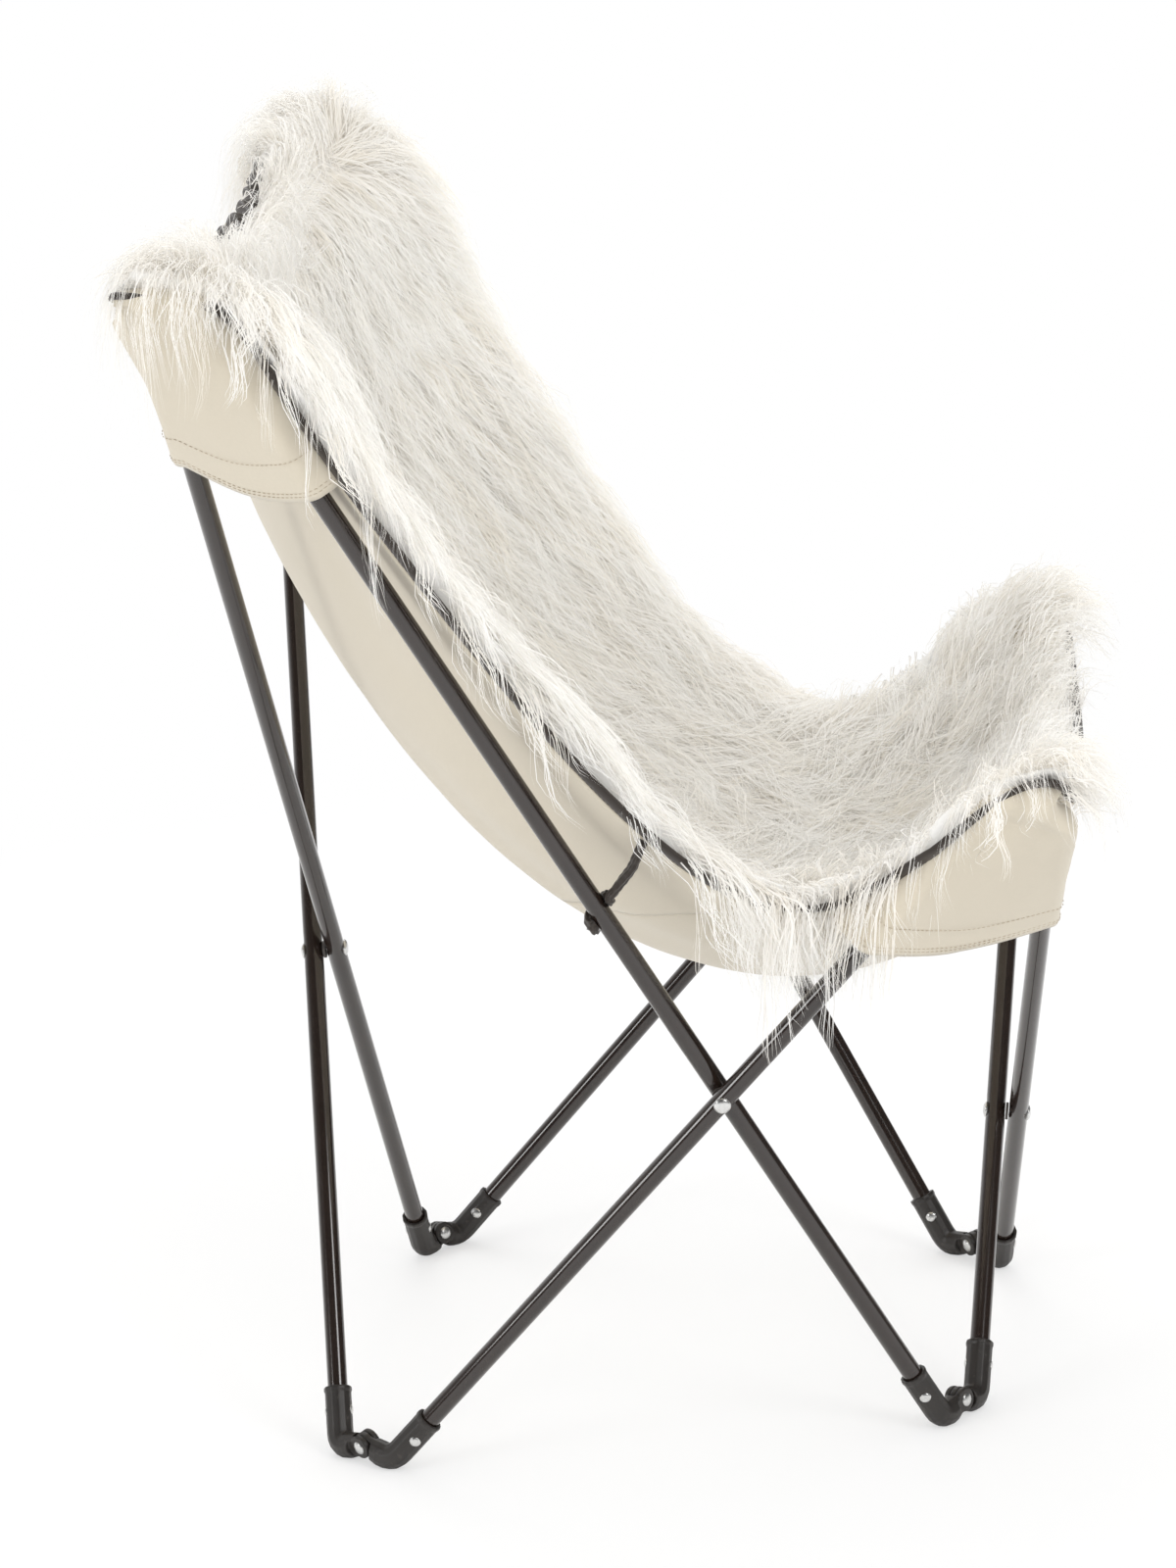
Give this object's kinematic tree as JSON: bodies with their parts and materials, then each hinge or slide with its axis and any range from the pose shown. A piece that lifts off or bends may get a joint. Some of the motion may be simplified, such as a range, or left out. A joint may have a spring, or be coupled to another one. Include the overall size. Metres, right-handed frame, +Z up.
{
  "type": "folding butterfly chair",
  "caption": "Folding butterfly chair: crossed steel tubes hinged at elbow feet carry a deep faux-fur sling hung by corner pockets",
  "frame": {"origin": "on the floor, under the middle of the box of the open chair", "axes": "+Z is up, the sitter faces -Y and the sitter's left is +X"},
  "size_m": [0.8352, 0.7044, 1.0177],
  "materials": {
    "tube_paint": "gloss dark bronze enamel",
    "elbow_moulding": "semi-gloss moulded nylon",
    "cap_nylon": "moulded nylon",
    "rivet_steel": "bright zinc plating",
    "canvas": "cream suede-like canvas",
    "faux_fur": "long ivory pile",
    "satin_binding": "dark brown satin tape",
    "label_cloth": "woven tape"
  },
  "bodies": {
    "right_long": {"back_binding": "satin_binding", "back_canvas_lining": "canvas", "back_fur": "faux_fur", "right_cross_rivet": "rivet_steel", "right_cross_washer": "cap_nylon", "right_front_hinge_rivet": "rivet_steel", "right_long_foot_fork": "elbow_moulding", "right_long_sleeve_rivet": "rivet_steel", "right_long_top_cap": "cap_nylon", "right_long_tube": "tube_paint", "right_rear_pocket": "canvas", "right_tie_strap": "satin_binding", "seat_binding": "satin_binding", "seat_canvas_lining": "canvas", "seat_fur": "faux_fur", "sewn_label": "label_cloth"},
    "right_short": {"right_front_pocket": "canvas", "right_short_foot_tongue": "elbow_moulding", "right_short_sleeve_rivet": "rivet_steel", "right_short_top_cap": "cap_nylon", "right_short_tube": "tube_paint"},
    "front_inner": {"front_cross_rivet": "rivet_steel", "front_cross_washer": "cap_nylon", "front_inner_foot_tongue": "elbow_moulding", "front_inner_sleeve_rivet": "rivet_steel", "front_inner_top_cap": "cap_nylon", "front_inner_tube": "tube_paint"},
    "front_outer": {"front_outer_foot_tongue": "elbow_moulding", "front_outer_sleeve_rivet": "rivet_steel", "front_outer_top_cap": "cap_nylon", "front_outer_tube": "tube_paint"},
    "left_long": {"left_front_hinge_rivet": "rivet_steel", "left_long_cross_stud": "rivet_steel", "left_long_foot_fork": "elbow_moulding", "left_long_sleeve_rivet": "rivet_steel", "left_long_top_cap": "cap_nylon", "left_long_tube": "tube_paint", "left_rear_pocket": "canvas"},
    "rear_outer": {"rear_cross_rivet": "rivet_steel", "rear_cross_washer": "cap_nylon", "rear_outer_foot_fork": "elbow_moulding", "rear_outer_sleeve_rivet": "rivet_steel", "rear_outer_top_cap": "cap_nylon", "rear_outer_tube": "tube_paint", "right_rear_hinge_rivet": "rivet_steel"},
    "rear_inner": {"rear_inner_foot_tongue": "elbow_moulding", "rear_inner_sleeve_rivet": "rivet_steel", "rear_inner_top_cap": "cap_nylon", "rear_inner_tube": "tube_paint"},
    "left_short": {"left_front_pocket": "canvas", "left_rear_hinge_rivet": "rivet_steel", "left_short_cross_stud": "rivet_steel", "left_short_foot_fork": "elbow_moulding", "left_short_sleeve_rivet": "rivet_steel", "left_short_top_cap": "cap_nylon", "left_short_tube": "tube_paint"}
  },
  "joints": [
    {"name": "right_cross_fold", "type": "hinge", "parent": "right_long", "child": "right_short", "pos_m": [-0.27357, -0.05502, 0.30722], "axis": [-0.9829, -0.0897, -0.1608], "range_deg": [0, 30], "deforming": ["back_binding", "back_canvas_lining", "back_fur", "left_front_pocket", "left_rear_pocket", "right_front_pocket", "right_rear_pocket", "seat_binding", "seat_canvas_lining", "seat_fur"]},
    {"name": "right_front_foot_fold", "type": "hinge", "parent": "right_long", "child": "front_inner", "pos_m": [-0.18066, -0.22548, 0.015], "axis": [-0.5928, -0.7957, 0.1244], "range_deg": [0, 23.58]},
    {"name": "front_cross_fold", "type": "hinge", "parent": "front_inner", "child": "front_outer", "pos_m": [0, -0.27024, 0.19474], "axis": [0, 0.9931, 0.1175], "range_deg": [0, 27.27]},
    {"name": "left_front_foot_fold", "type": "hinge", "parent": "front_outer", "child": "left_long", "pos_m": [0.17973, -0.23484, 0.015], "axis": [0.5928, -0.7957, 0.1244], "range_deg": [0, 23.58]},
    {"name": "right_rear_foot_fold", "type": "hinge", "parent": "right_short", "child": "rear_outer", "pos_m": [-0.24335, 0.24541, 0.015], "axis": [0.7286, -0.649, 0.2187], "range_deg": [0, 28.34]},
    {"name": "rear_cross_fold", "type": "hinge", "parent": "rear_outer", "child": "rear_inner", "pos_m": [0, 0.28454, 0.35316], "axis": [0, 0.9972, -0.0747], "range_deg": [0, 28.9]},
    {"name": "left_rear_foot_fold", "type": "hinge", "parent": "rear_inner", "child": "left_short", "pos_m": [0.2438, 0.23608, 0.015], "axis": [-0.7286, -0.649, 0.2187], "range_deg": [0, 28.34]}
  ],
  "couplings": [
    {"joint": "right_front_foot_fold", "follows": "right_cross_fold", "ratio": 0.78606},
    {"joint": "front_cross_fold", "follows": "right_cross_fold", "ratio": 0.90906},
    {"joint": "left_front_foot_fold", "follows": "right_cross_fold", "ratio": 0.78606},
    {"joint": "right_rear_foot_fold", "follows": "right_cross_fold", "ratio": 0.94448},
    {"joint": "rear_cross_fold", "follows": "right_cross_fold", "ratio": 0.96328},
    {"joint": "left_rear_foot_fold", "follows": "right_cross_fold", "ratio": 0.94448}
  ]
}
